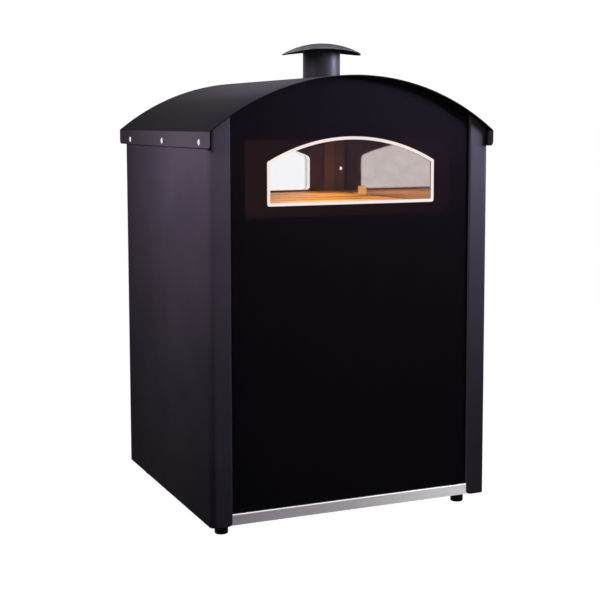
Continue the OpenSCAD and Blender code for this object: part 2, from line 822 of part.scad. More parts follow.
// Three brackets at the hinge side, each with a rounded ear
module hinge_brackets() color("silver") in_frame() for (z = bracket_z) translate([0, 0, z]) {
    difference() {
        union() {
            translate([hinge_x, hinge_y, 0]) cylinder(r = pin_r + 3, h = bracket_t);
            block([hinge_x - pin_r - 3, rear_y, 0], [hinge_x + pin_r + 3, hinge_y, bracket_t]);
        }
        translate([hinge_x, hinge_y, -past]) cylinder(r = pin_r, h = bracket_t + 2 * past);
    }
}

module hinge_pins() color("gainsboro") in_frame() translate([hinge_x, hinge_y, 0]) {
    translate([0, 0, bracket_z[0]]) cylinder(r = pin_r, h = bracket_t + pin_l);
    translate([0, 0, bracket_z[1] - pin_l]) cylinder(r = pin_r, h = bracket_t + 2 * pin_l);
    translate([0, 0, bracket_z[2] - pin_l]) cylinder(r = pin_r, h = bracket_t + pin_l);
}

// Magnets behind the rear frame that hold the doors shut
module door_magnets() color([0.25, 0.25, 0.25]) in_frame() {
    x = display_x + liner_t + insulation_t + 1;
    for (z = [display_z + 64, fan_z]) block([-x - 6, frame_y - 8, z - 20], [-x, frame_y, z + 20]);
}

// Outer skin of a door: a sheet folded along its upright edges, with closed ends
module door_shell(low, high) {
    r = door_fold_r;
    t = panel_t;
    translate([0, 0, low]) linear_extrude(high - low) {
        translate([-door_x + r, door_face - t]) square([2 * (door_x - r), t]);
        for (side = [-1, 1]) {
            fold(side * (door_x - r), door_face - r, r, t, side, 1);
            translate([side * (door_x - t / 2) - t / 2, door_y + t]) square([t, door_t - r - t]);
        }
    }
    for (z = [low, high - t]) translate([0, 0, z]) linear_extrude(t) {
        translate([-door_x + t / 2, door_y + t]) square([2 * door_x - t, door_t - r - t]);
        translate([-door_x + r, door_y + t]) square([2 * (door_x - r), door_t - t * 1.5]);
    }
}

// Inner skin: a flat sheet with a plug that reaches into the opening, and two hinge bushes
module door_lining(low, high, half, hole_low, hole_high) {
    t = panel_t;
    difference() {
        union() {
            block([-door_x, door_y, low], [door_x, door_y + t, high]);
            slab(plug_y, door_y - plug_y + t)
                panel_2d(half - plug_gap, hole_low + plug_gap, hole_high - plug_gap, 6);
        }
        slab(plug_y + t, door_y - plug_y + past)
            panel_2d(half - plug_gap - t, hole_low + plug_gap + t, hole_high - plug_gap - t, 5);
    }
    for (z = [low + t, high - t - bush_l]) translate([0, 0, z]) linear_extrude(bush_l) difference() {
        inner = hinge_x - pin_r - 3;
        outer = door_x - t;
        translate([(inner + outer) / 2, 0])
            panel_2d((outer - inner) / 2, door_y + t / 2, hinge_y + pin_r + 1, door_fold_r - t + lap);
        translate([hinge_x, hinge_y]) circle(pin_r + run);
    }
}

module pin_holes(low, high) for (z = [low, high - panel_t])
    translate([hinge_x, hinge_y, z - past]) cylinder(r = pin_r + 0.6, h = panel_t + 2 * past);

module door_window(inset)
    crowned(display_hole_x - plug_gap - door_window_margin, plate_z + 2.5, plate_z + 2.5 + door_window_side,
        door_window_rise, 7, 10, inset);

module display_door_outer() color([0.2, 0.2, 0.22]) in_frame() {
    difference() {
        door_shell(display_door_z, display_door_top);
        slab(door_y, door_t + past) door_window(0);
        pin_holes(display_door_z, display_door_top);
    }
    // turned edge round the window, down to the pane
    slab(pane_y + pane_t, door_face - pane_y - pane_t) difference() {
        door_window(-panel_t);
        door_window(0);
    }
}

module display_door_inner() color([0.25, 0.22, 0.2]) in_frame() {
    difference() {
        door_lining(display_door_z, display_door_top, display_hole_x, display_hole_z, display_hole_top);
        slab(plug_y - past, door_t) door_window(0);
    }
    slab(plug_y, pane_y - plug_y) difference() {
        door_window(-panel_t);
        door_window(0);
    }
}

module display_door_glass() color([0.8, 0.9, 0.95, 0.4]) in_frame() slab(pane_y, pane_t) door_window(-6);

module oven_door_outer() color([0.2, 0.2, 0.22]) in_frame() difference() {
    door_shell(oven_door_z, oven_door_top);
    pin_holes(oven_door_z, oven_door_top);
}

module oven_door_inner() color("silver") in_frame()
    door_lining(oven_door_z, oven_door_top, oven_x, oven_z, oven_top);

module oven_door_insulation() color("khaki") in_frame()
    block([-oven_x + 10, plug_y + panel_t, oven_z + 10], [oven_x - 10, door_face - panel_t, oven_top - 10]);

// Bow handle: an upright bar with two round bends and legs on the door's face
module bow_handle(x, z, length) {
    bend = 14;
    y = handle_y - handle_r;
    half = length / 2 - handle_r;
    translate([x, 0, z]) {
        translate([0, y, -half + bend]) cylinder(r = handle_r, h = 2 * (half - bend));
        for (side = [-1, 1]) {
            translate([0, y - bend, side * (half - bend)]) rotate([0, side > 0 ? -90 : 90, 0])
                rotate_extrude(angle = 90) translate([bend, 0]) circle(handle_r);
            bar_y(0, side * half, handle_r, door_face, y - bend);
            bar_y(0, side * half, handle_r + 3, door_face, door_face + 3);
        }
    }
}

module display_door_handle() color([0.12, 0.12, 0.12]) in_frame()
    bow_handle(handle_x, (display_door_z + display_door_top) / 2, display_handle_l);

module oven_door_handle() color([0.12, 0.12, 0.12]) in_frame()
    bow_handle(handle_x, (oven_door_z + oven_door_top) / 2, oven_handle_l);

// Controls

module control_panel() color([0.15, 0.15, 0.16]) in_frame() slab(rear_y - sheet_t, sheet_t) difference() {
    panel_2d(sheet_x, panel_z, panel_top, 2);
    for (x = [thermostat_x, timer_x]) translate([x, control_z]) circle(bush_r + lap);
    for (x = [power_lamp_x, heat_lamp_x]) translate([x, control_z]) circle(lamp_r + lap);
    for (x = [power_x, light_x]) translate([x - rocker_w / 2 - 2, control_z - rocker_h / 2 - 2])
        square([rocker_w + 4, rocker_h + 4]);
    translate([gland_x, control_z]) circle(gland_r + lap);
    for (x = [-panel_screw_x, panel_screw_x], z = panel_screw_z) translate([x, z]) circle(screw_r + lap);
}

module panel_screws() color("white") in_frame()
    for (x = [-panel_screw_x, panel_screw_x], z = panel_screw_z)
        translate([x, rear_y, z]) rotate([-90, 0, 0]) {
            translate([0, 0, -panel_screw_l]) cylinder(r = screw_r, h = panel_screw_l + sheet_t);
            dome(2 * screw_r, screw_r);
        }

// Body of a rotary control behind the panel, with a bored bush through it
module rotary(x, w, h, depth) {
    y = rear_y - sheet_t;
    difference() {
        union() {
            block([x - w / 2, y - depth, control_z - h / 2], [x + w / 2, y, control_z + h / 2]);
            bar_y(x, control_z, bush_r, y, rear_y + 1.5);
        }
        bar_y(x, control_z, spindle_r + run, y - depth + 5, rear_y + 3);
    }
}

module thermostat() color([0.8, 0.8, 0.75]) in_frame() rotary(thermostat_x, 44, 34, 30);

module timer() color([0.7, 0.7, 0.68]) in_frame() rotary(timer_x, 50, 50, 36);

module spindle(x) bar_y(x, control_z, spindle_r, rear_y - 20, rear_y - 20 + spindle_l);

module thermostat_spindle() color("silver") in_frame() spindle(thermostat_x);

module timer_spindle() color("silver") in_frame() spindle(timer_x);

// Fluted knob with a skirt, a tapered grip and a pointer
module knob(x) translate([x, rear_y + 2, control_z]) rotate([-90, 0, 0]) difference() {
    union() {
        cylinder(r = knob_r, h = 3);
        translate([0, 0, 3]) cylinder(r1 = knob_r - 3, r2 = knob_r - 5, h = knob_h - 3);
        translate([-1, -knob_r + 0.5, 2.5]) cube([2, 5, 1.5]);
    }
    for (i = [0:11]) rotate(i * 30 + 15) translate([knob_r, 0, 3]) cylinder(r = 5.2, h = knob_h);
    translate([0, 0, -past]) cylinder(r = spindle_r, h = spindle_l - 22 + past);
    translate([-0.75, -knob_r, knob_h - 0.8]) cube([1.5, knob_r, 2]);
}

module thermostat_knob() color([0.12, 0.12, 0.12]) in_frame() knob(thermostat_x);

module timer_knob() color([0.12, 0.12, 0.12]) in_frame() knob(timer_x);

// Housings of the two rocker switches: a rim on the panel and a box behind it
module switch_bodies() color([0.1, 0.1, 0.1]) in_frame() for (x = [power_x, light_x]) difference() {
    union() {
        slab(rear_y, 2) translate([x, control_z]) centred(rocker_w + 8, rocker_h + 8);
        slab(rear_y - 22, 22 + past) translate([x, control_z]) centred(rocker_w + 3, rocker_h + 3);
    }
    slab(rear_y - 12, 20) translate([x, control_z]) centred(rocker_w + 0.8, rocker_h + 0.8);
    bar_x(rocker_axis, control_z, 1.5 + run, x - rocker_w / 2 - 1.2, x + rocker_w / 2 + 1.2);
}

module centred(w, h) translate([-w / 2, -h / 2]) square([w, h]);

// Rocker with a shallow hollow face, pivoted on two stubs
module rocker(x) translate([x, rocker_axis, control_z]) rotate([rocker_tilt, 0, 0]) {
    across(-rocker_w / 2, rocker_w) difference() {
        intersection() {
            circle(rocker_h / 2);
            translate([-8, -rocker_h / 2]) square([13.5, rocker_h]);
        }
        translate([55, 0]) circle(51);
    }
    bar_x(0, 0, 1.5, -rocker_w / 2 - 1, rocker_w / 2 + 1);
}

module power_rocker() color([0.7, 0.1, 0.1]) in_frame() rocker(power_x);

module light_rocker() color([0.1, 0.1, 0.1]) in_frame() rocker(light_x);

module indicator_lamps() color("orange") in_frame() for (x = [power_lamp_x, heat_lamp_x])
    translate([x, rear_y, control_z]) rotate([-90, 0, 0]) {
        translate([0, 0, -lamp_body]) cylinder(r = lamp_r, h = lamp_body + sheet_t);
        dome(lamp_r + 1.5, 4);
    }

// Gland with a hexagon, a dome nut and the hole for the supply cord
module cable_gland() color([0.1, 0.1, 0.1]) in_frame()
    translate([gland_x, rear_y, control_z]) rotate([-90, 0, 0]) difference() {
        union() {
            translate([0, 0, -8]) cylinder(r = gland_r, h = 9);
            cylinder(r = 11.5, h = 5, $fn = 6);
            translate([0, 0, 4]) cylinder(r = 9.5, h = 6);
            translate([0, 0, 10]) cylinder(r1 = 9.5, r2 = 7, h = 6);
            translate([0, 0, -sheet_t - 5]) cylinder(r = 11.5, h = 5, $fn = 6);
        }
        translate([0, 0, -10]) cylinder(r = gland_bore_r, h = 30);
    }

side_panel_left();
side_panel_right();
roof_cover();
roof_screws();
chimney_tube();
chimney_cap();
front_glass();
front_mask();
window_light();
front_panel();
bottom_trim();
base_pan();
feet();
oven_shelf();
display_liner();
liner_screws();
hot_plate();
plate_clips();
display_element();
lamp_holders();
lamp_bulbs();
display_insulation();
oven_liner();
oven_insulation();
fan_motor();
fan_shaft();
fan_wheel();
ring_element();
fan_cover();
rack_lower();
rack_middle();
rack_upper();
rack_runners();
drip_tray();
rear_frame();
oven_gasket();
hinge_brackets();
hinge_pins();
door_magnets();
display_door_outer();
display_door_inner();
display_door_glass();
display_door_handle();
oven_door_outer();
oven_door_inner();
oven_door_insulation();
oven_door_handle();
control_panel();
panel_screws();
thermostat();
thermostat_spindle();
thermostat_knob();
timer();
timer_spindle();
timer_knob();
switch_bodies();
power_rocker();
light_rocker();
indicator_lamps();
cable_gland();
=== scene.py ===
"""Looks of the counter-top baked potato oven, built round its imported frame.

Metres, +Z up, the customer's side towards -Y, the operator's side towards +Y.
"""

import json
import math

import bmesh
import bpy
from mathutils import Matrix, Vector


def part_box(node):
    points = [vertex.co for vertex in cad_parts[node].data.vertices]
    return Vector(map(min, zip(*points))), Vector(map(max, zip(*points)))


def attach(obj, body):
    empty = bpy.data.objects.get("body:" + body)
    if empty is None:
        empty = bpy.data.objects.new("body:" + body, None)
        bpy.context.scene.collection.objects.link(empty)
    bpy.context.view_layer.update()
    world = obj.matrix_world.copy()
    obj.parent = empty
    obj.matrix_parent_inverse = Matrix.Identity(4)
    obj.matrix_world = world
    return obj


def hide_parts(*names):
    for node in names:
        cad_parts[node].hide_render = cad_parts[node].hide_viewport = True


MM = 0.001

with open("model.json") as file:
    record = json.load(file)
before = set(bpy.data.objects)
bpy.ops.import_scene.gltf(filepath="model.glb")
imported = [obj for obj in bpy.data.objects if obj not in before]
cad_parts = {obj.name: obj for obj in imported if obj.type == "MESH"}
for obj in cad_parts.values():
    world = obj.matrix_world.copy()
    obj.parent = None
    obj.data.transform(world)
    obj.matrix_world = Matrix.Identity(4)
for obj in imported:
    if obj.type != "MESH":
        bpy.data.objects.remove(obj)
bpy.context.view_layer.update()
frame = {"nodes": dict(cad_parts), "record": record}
nodes = frame["nodes"]
slot_of = {row["node"]: row["material_slot"] for row in frame["record"]["subparts"]}


# Camera, fitted to the outline in the photograph; lens and sensor in mm

CAMERA_PLACE = (-0.89849, -2.09269, 0.66236)
CAMERA_YAW = math.radians(23.529)
CAMERA_PITCH = math.radians(5.630)
CAMERA_ROLL = math.radians(-0.109)
CAMERA_LENS = 76.124
CAMERA_SENSOR = 36
CAMERA_SHIFT = -0.09


def add_camera():
    data = bpy.data.cameras.new("camera")
    data.lens = CAMERA_LENS
    data.sensor_width = CAMERA_SENSOR
    data.shift_y = CAMERA_SHIFT
    camera = bpy.data.objects.new("camera", data)
    bpy.context.scene.collection.objects.link(camera)
    forward = Vector((math.sin(CAMERA_YAW) * math.cos(CAMERA_PITCH),
                      math.cos(CAMERA_YAW) * math.cos(CAMERA_PITCH),
                      -math.sin(CAMERA_PITCH)))
    right = Vector((math.cos(CAMERA_YAW), -math.sin(CAMERA_YAW), 0))
    up = right.cross(forward)
    across = right * math.cos(CAMERA_ROLL) + up * math.sin(CAMERA_ROLL)
    upright = up * math.cos(CAMERA_ROLL) - right * math.sin(CAMERA_ROLL)
    turn = Matrix((across, upright, -forward)).transposed().to_4x4()
    camera.matrix_world = Matrix.Translation(CAMERA_PLACE) @ turn
    bpy.context.scene.camera = camera


# Shader helpers

def new_material(name, colour, roughness, **sockets):
    """Material of one Principled shader. Returns it, its node tree and the shader."""
    material = bpy.data.materials.new(name)
    material.use_nodes = True
    tree = material.node_tree
    shader = tree.nodes["Principled BSDF"]
    shader.inputs["Base Color"].default_value = (*colour, 1)
    shader.inputs["Roughness"].default_value = roughness
    for socket, value in sockets.items():
        shader.inputs[socket.replace("_", " ")].default_value = value
    return material, tree, shader


def noise(tree, scale, detail=3.0, stretch=(1, 1, 1)):
    """Noise fixed to the object; scale is in features per metre."""
    place = tree.nodes.new("ShaderNodeTexCoord")
    mapping = tree.nodes.new("ShaderNodeMapping")
    mapping.inputs["Scale"].default_value = stretch
    texture = tree.nodes.new("ShaderNodeTexNoise")
    texture.inputs["Scale"].default_value = scale
    texture.inputs["Detail"].default_value = detail
    tree.links.new(place.outputs["Object"], mapping.inputs["Vector"])
    tree.links.new(mapping.outputs["Vector"], texture.inputs["Vector"])
    return texture.outputs["Fac"]


def spread(tree, factor, low, high, start=0.3, end=0.7):
    """Maps a noise value onto low to high."""
    node = tree.nodes.new("ShaderNodeMapRange")
    node.inputs["From Min"].default_value = start
    node.inputs["From Max"].default_value = end
    node.inputs["To Min"].default_value = low
    node.inputs["To Max"].default_value = high
    tree.links.new(factor, node.inputs["Value"])
    return node.outputs["Result"]


def between(tree, factor, first, second, start=0.3, end=0.7):
    """Colour that runs from first to second with a noise value."""
    ramp = tree.nodes.new("ShaderNodeValToRGB")
    ramp.color_ramp.elements[0].position = start
    ramp.color_ramp.elements[0].color = (*first, 1)
    ramp.color_ramp.elements[1].position = end
    ramp.color_ramp.elements[1].color = (*second, 1)
    tree.links.new(factor, ramp.inputs["Fac"])
    return ramp.outputs["Color"]


def bump(tree, shader, height, strength, distance):
    node = tree.nodes.new("ShaderNodeBump")
    node.inputs["Strength"].default_value = strength
    node.inputs["Distance"].default_value = distance
    tree.links.new(height, node.inputs["Height"])
    tree.links.new(node.outputs["Normal"], shader.inputs["Normal"])


def scaled(colour, factor):
    return tuple(channel * factor for channel in colour)


def run_along(tree, axis, start, end):
    """0 to 1 as the axis goes from start to end."""
    place = tree.nodes.new("ShaderNodeTexCoord")
    parts = tree.nodes.new("ShaderNodeSeparateXYZ")
    node = tree.nodes.new("ShaderNodeMapRange")
    node.inputs["From Min"].default_value = start
    node.inputs["From Max"].default_value = end
    tree.links.new(place.outputs["Object"], parts.inputs[0])
    tree.links.new(parts.outputs[axis], node.inputs["Value"])
    return node.outputs["Result"]


def multiplied(tree, first, second):
    """Product of two colours."""
    node = tree.nodes.new("ShaderNodeMix")
    node.data_type = "RGBA"
    node.blend_type = "MULTIPLY"
    node.inputs["Factor"].default_value = 1.0
    tree.links.new(first, node.inputs["A"])
    tree.links.new(second, node.inputs["B"])
    return node.outputs["Result"]


# Materials

def powder_coat(name, colour, roughness, level):
    """Fine textured powder coat: a grainy skin with slight clouds in its tone."""
    material, tree, shader = new_material(name, colour, roughness, Specular_IOR_Level=level)
    clouds = noise(tree, 9, 4)
    tree.links.new(between(tree, clouds, scaled(colour, 0.88), scaled(colour, 1.12)),
                   shader.inputs["Base Color"])
    grain = noise(tree, 1400, 2)
    tree.links.new(spread(tree, grain, roughness - 0.06, roughness + 0.08), shader.inputs["Roughness"])
    bump(tree, shader, grain, 0.35, 0.00012)
    return material


def roof_coat_painted_shade(name, shade_tones, lip_colour, roughness, level):
    """Powder coat of the roof with painted shade and reflection: paler on the lips, painted dark beside them
    and lighter again towards the crown.

    The shade_tones are colours for an upward slope from 0 at the eaves to 1 at the crown.
    """
    material, tree, shader = new_material(name, lip_colour, roughness, Specular_IOR_Level=level)
    clouds = noise(tree, 9, 4)
    place = tree.nodes.new("ShaderNodeNewGeometry")
    parts = tree.nodes.new("ShaderNodeSeparateXYZ")
    slope = tree.nodes.new("ShaderNodeMapRange")
    slope.inputs["From Min"].default_value = 0.8
    tree.links.new(place.outputs["Normal"], parts.inputs[0])
    tree.links.new(parts.outputs["Z"], slope.inputs["Value"])
    # Painted shade and reflection: colour by the slope of the face, dark at the eaves, light at the crown
    ramp = tree.nodes.new("ShaderNodeValToRGB")
    elements = ramp.color_ramp.elements
    elements[0].position, elements[0].color = shade_tones[0][0], (*shade_tones[0][1], 1)
    elements[1].position, elements[1].color = shade_tones[-1][0], (*shade_tones[-1][1], 1)
    for position, colour in shade_tones[1:-1]:
        elements.new(position).color = (*colour, 1)
    tree.links.new(slope.outputs["Result"], ramp.inputs["Fac"])
    lip = between(tree, clouds, scaled(lip_colour, 0.92), scaled(lip_colour, 1.08))
    # The lips keep the plain coat; the top takes the painted shade and reflection
    sides = masked(tree, facing(tree, "X", -0.97), ramp.outputs["Color"], lip)
    tree.links.new(masked(tree, facing(tree, "X", 0.97), sides, lip), shader.inputs["Base Color"])
    grain = noise(tree, 1400, 2)
    tree.links.new(spread(tree, grain, roughness - 0.06, roughness + 0.08), shader.inputs["Roughness"])
    bump(tree, shader, grain, 0.35, 0.00012)
    return material


def satin_paint(name, colour, roughness, level):
    """Smooth sprayed paint with a faint orange peel."""
    material, tree, shader = new_material(name, colour, roughness, Specular_IOR_Level=level)
    clouds = noise(tree, 14, 3)
    tree.links.new(between(tree, clouds, scaled(colour, 0.9), scaled(colour, 1.1)),
                   shader.inputs["Base Color"])
    peel = noise(tree, 420, 2)
    tree.links.new(spread(tree, clouds, roughness - 0.05, roughness + 0.05), shader.inputs["Roughness"])
    bump(tree, shader, peel, 0.12, 0.0001)
    return material


def mottled_paint_painted_light(name, pale, dark, start, end, roughness):
    """Matt paint that the weather has mottled, with painted light and shade: pale at x = start and still dark
    at x = end.
    """
    material, tree, shader = new_material(name, dark, roughness, Specular_IOR_Level=0.0)
    # Painted light and shade: pale at start, dark at end
    tone = between(tree, run_along(tree, "X", start, end), pale, dark, 0.0, 1.0)
    mottle = noise(tree, 90, 5)
    tree.links.new(multiplied(tree, tone, between(tree, mottle, (0.7, 0.7, 0.7), (1.2, 1.2, 1.2))),
                   shader.inputs["Base Color"])
    bump(tree, shader, mottle, 0.15, 0.0003)
    return material


def brushed_metal(name, colour, roughness, along):
    """Sheet with fine brush lines that run along one axis, x, y or z."""
    material, tree, shader = new_material(name, colour, roughness, Metallic=1.0)
    stretch = tuple(0.012 if axis == along else 1.0 for axis in "xyz")
    lines = noise(tree, 1300, 3, stretch)
    smudges = noise(tree, 16, 4)
    tree.links.new(between(tree, lines, scaled(colour, 0.86), scaled(colour, 1.1)),
                   shader.inputs["Base Color"])
    tree.links.new(spread(tree, smudges, roughness - 0.05, roughness + 0.07), shader.inputs["Roughness"])
    bump(tree, shader, lines, 0.2, 0.00006)
    return material


def polished_metal(name, colour, roughness):
    """Bright sheet or plating with faint smears."""
    material, tree, shader = new_material(name, colour, roughness, Metallic=1.0)
    smears = noise(tree, 22, 5, (1, 1, 2.5))
    tree.links.new(between(tree, smears, scaled(colour, 0.93), scaled(colour, 1.04)),
                   shader.inputs["Base Color"])
    tree.links.new(spread(tree, smears, roughness * 0.7, roughness * 1.6), shader.inputs["Roughness"])
    return material


def cast_metal(name, colour, roughness, metallic):
    """Cast or oxidised metal, mottled and slightly pitted."""
    material, tree, shader = new_material(name, colour, roughness, Metallic=metallic)
    mottle = noise(tree, 60, 6)
    tree.links.new(between(tree, mottle, scaled(colour, 0.7), scaled(colour, 1.25)),
                   shader.inputs["Base Color"])
    pits = noise(tree, 700, 3)
    tree.links.new(spread(tree, mottle, roughness - 0.1, roughness + 0.1), shader.inputs["Roughness"])
    bump(tree, shader, pits, 0.3, 0.0002)
    return material


def moulded(name, colour, roughness, level=0.5, grain_scale=900, grain_strength=0.15):
    """Moulded plastic or rubber with a fine mould grain."""
    material, tree, shader = new_material(name, colour, roughness, Specular_IOR_Level=level)
    clouds = noise(tree, 40, 3)
    tree.links.new(between(tree, clouds, scaled(colour, 0.9), scaled(colour, 1.1)),
                   shader.inputs["Base Color"])
    grain = noise(tree, grain_scale, 2)
    tree.links.new(spread(tree, grain, roughness - 0.05, roughness + 0.05), shader.inputs["Roughness"])
    bump(tree, shader, grain, grain_strength, 0.0001)
    return material


def pane(name, colour, ior, roughness=0.0, film=0.0, tint=(1, 1, 1)):
    """Clear toughened glass with the faintest dust. The film is a haze on its faces."""
    material, tree, shader = new_material(name, colour, roughness, IOR=ior, Sheen_Weight=film)
    shader.inputs["Sheen Tint"].default_value = (*tint, 1)
    shader.inputs["Sheen Roughness"].default_value = 1.0
    shader.inputs["Transmission Weight"].default_value = 1.0
    dust = noise(tree, 30, 5)
    tree.links.new(spread(tree, dust, roughness, roughness + 0.02), shader.inputs["Roughness"])
    return material


def printed_black(name, colour, glow, low, high):
    """Black enamel print with a painted glow: from low to high its emission stands in for the light of the
    lit compartment showing through, less towards the right.
    """
    material, tree, shader = new_material(name, colour, 0.6, Specular_IOR_Level=0.0)
    density = noise(tree, 25, 3)
    tree.links.new(between(tree, density, scaled(colour, 0.85), scaled(colour, 1.15)),
                   shader.inputs["Base Color"])
    edge = 0.5 * MM
    fade = 0.3
    inside = run_along(tree, "X", low.x - edge, low.x + edge)
    for axis, start, end in (("X", high.x + edge, high.x - edge), ("Z", low.z - edge, low.z + edge),
                             ("Z", high.z + edge, high.z - edge), ("X", high.x + fade, low.x)):
        product = tree.nodes.new("ShaderNodeMath")
        product.operation = "MULTIPLY"
        tree.links.new(inside, product.inputs[0])
        tree.links.new(run_along(tree, axis, start, end), product.inputs[1])
        inside = product.outputs[0]
    # Painted glow of the compartment behind the print
    shader.inputs["Emission Color"].default_value = (*glow, 1)
    tree.links.new(inside, shader.inputs["Emission Strength"])
    return material


def glowing(name, colour, strength, variation):
    """Glowing surface, a little uneven: the lit bulbs, and the painted glints of the liner screws."""
    material, tree, shader = new_material(name, colour, 0.5)
    shader.inputs["Emission Strength"].default_value = strength
    patches = noise(tree, 35, 2)
    tree.links.new(between(tree, patches, scaled(colour, 1 - variation), colour),
                   shader.inputs["Emission Color"])
    return material


def facing(tree, axis, limit):
    """1 where the face looks along the axis, which a negative limit turns round, 0 elsewhere."""
    place = tree.nodes.new("ShaderNodeNewGeometry")
    parts = tree.nodes.new("ShaderNodeSeparateXYZ")
    test = tree.nodes.new("ShaderNodeMath")
    test.operation = "LESS_THAN" if limit < 0 else "GREATER_THAN"
    test.inputs[1].default_value = limit
    tree.links.new(place.outputs["Normal"], parts.inputs[0])
    tree.links.new(parts.outputs[axis], test.inputs[0])
    return test.outputs[0]


def masked(tree, mask, off, on):
    """Second colour where the mask is 1, else the first. Both are sockets."""
    node = tree.nodes.new("ShaderNodeMix")
    node.data_type = "RGBA"
    tree.links.new(mask, node.inputs["Factor"])
    tree.links.new(off, node.inputs["A"])
    tree.links.new(on, node.inputs["B"])
    return node.outputs["Result"]


def lit_border(name, colour, strength):
    """Edge-lit acrylic strip: it glows from its front face only, a little unevenly."""
    material, tree, shader = new_material(name, scaled(colour, 0.2), 0.4)
    patches = noise(tree, 35, 2)
    tree.links.new(between(tree, patches, scaled(colour, 0.94), colour), shader.inputs["Emission Color"])
    strengths = tree.nodes.new("ShaderNodeMapRange")
    strengths.inputs["To Min"].default_value = 0.04
    strengths.inputs["To Max"].default_value = strength
    tree.links.new(facing(tree, "Y", -0.8), strengths.inputs["Value"])
    tree.links.new(strengths.outputs["Result"], shader.inputs["Emission Strength"])
    return material


def strip_painted_reflection(name, dim_end, middle, bright, edge, roughness):
    """Brushed strip with painted reflection, dimmer towards its left end, and a painted highlight in a pale
    band from edge upwards.
    """
    material, tree, shader = new_material(name, bright, roughness, Metallic=1.0)
    lines = noise(tree, 1300, 3, (0.012, 1.0, 1.0))
    tone = tree.nodes.new("ShaderNodeValToRGB")
    tone.color_ramp.elements[0].color = (*dim_end, 1)
    tone.color_ramp.elements[1].color = (*bright, 1)
    tone.color_ramp.elements.new(0.5).color = (*middle, 1)
    # Painted reflection: dim at the left end, bright at the right
    tree.links.new(run_along(tree, "X", -0.21, 0.2), tone.inputs["Fac"])
    shade = multiplied(tree, tone.outputs["Color"], between(tree, lines, (0.86, 0.86, 0.86), (1.1, 1.1, 1.1)))
    # Painted highlight: a pale band along the upper edge
    painted_highlight = tree.nodes.new("ShaderNodeMix")
    painted_highlight.data_type = "RGBA"
    painted_highlight.inputs["B"].default_value = (0.93, 0.92, 0.92, 1)
    tree.links.new(run_along(tree, "Z", edge - 0.5 * MM, edge + 0.5 * MM), painted_highlight.inputs["Factor"])
    tree.links.new(shade, painted_highlight.inputs["A"])
    tree.links.new(painted_highlight.outputs["Result"], shader.inputs["Base Color"])
    smudges = noise(tree, 16, 4)
    tree.links.new(spread(tree, smudges, roughness - 0.05, roughness + 0.07), shader.inputs["Roughness"])
    bump(tree, shader, lines, 0.2, 0.00006)
    return material


def frame_sheet(name, colour, heated, roughness):
    """Brushed sheet whose face towards the display is heat-tinted dark brown."""
    material, tree, shader = new_material(name, colour, roughness, Metallic=1.0)
    lines = noise(tree, 1300, 3, (0.012, 1.0, 1.0))
    smudges = noise(tree, 16, 4)
    steel = between(tree, lines, scaled(colour, 0.86), scaled(colour, 1.1))
    brown = between(tree, smudges, scaled(heated, 0.8), scaled(heated, 1.2))
    inner_face = facing(tree, "Y", -0.8)
    tree.links.new(masked(tree, inner_face, steel, brown), shader.inputs["Base Color"])
    tree.links.new(spread(tree, inner_face, 1.0, 0.15, 0.0, 1.0), shader.inputs["Metallic"])
    tree.links.new(spread(tree, inner_face, 0.5, 0.05, 0.0, 1.0), shader.inputs["Specular IOR Level"])
    tree.links.new(spread(tree, smudges, roughness - 0.05, roughness + 0.07), shader.inputs["Roughness"])
    bump(tree, shader, lines, 0.2, 0.00006)
    return material


def plate_with_painted_reflection(name, colour, roughness):
    """Plate with a ground finish along x, orange, with painted reflection in light and dark streaks along x.
    """
    material, tree, shader = new_material(name, colour, roughness, Specular_IOR_Level=0.03)
    streaks = noise(tree, 30, 7, (0.2, 1, 1))
    # Painted reflection: the colour runs from dark to light in streaks
    tree.links.new(between(tree, streaks, scaled(colour, 0.35), scaled(colour, 1.45), 0.38, 0.62),
                   shader.inputs["Base Color"])
    tree.links.new(spread(tree, streaks, roughness - 0.05, roughness + 0.1), shader.inputs["Roughness"])
    bump(tree, shader, streaks, 0.15, 0.0002)
    return material


def mineral_wool(name, colour):
    """Matted fibres."""
    material, tree, shader = new_material(name, colour, 0.95, Specular_IOR_Level=0.1)
    fibres = noise(tree, 260, 8, (1, 1, 0.2))
    tree.links.new(between(tree, fibres, scaled(colour, 0.55), scaled(colour, 1.2)),
                   shader.inputs["Base Color"])
    bump(tree, shader, fibres, 0.8, 0.0015)
    return material


# Painted shade and reflection of the roof top: dark at the eaves, lighter towards the crown
ROOF_PAINTED_SHADE_TONES = ((0.2, (0.0085, 0.0072, 0.0096)),
              (0.5, (0.016, 0.0137, 0.017)),
              (0.9, (0.071, 0.065, 0.078)))
# Corners of the painted glow on the print
GLOW_LOW = Vector((-0.187, 0, 0.510))
GLOW_HIGH = Vector((0.179, 0, 0.633))
# Painted reflection along the strip: dim left end, middle, bright right end
STRIP_REFLECTION_TONES = ((0.195, 0.175, 0.195), (0.30, 0.285, 0.30), (0.53, 0.515, 0.53))
# Depth of the painted highlight band below the strip's top
STRIP_HIGHLIGHT_BAND = 1.7 * MM

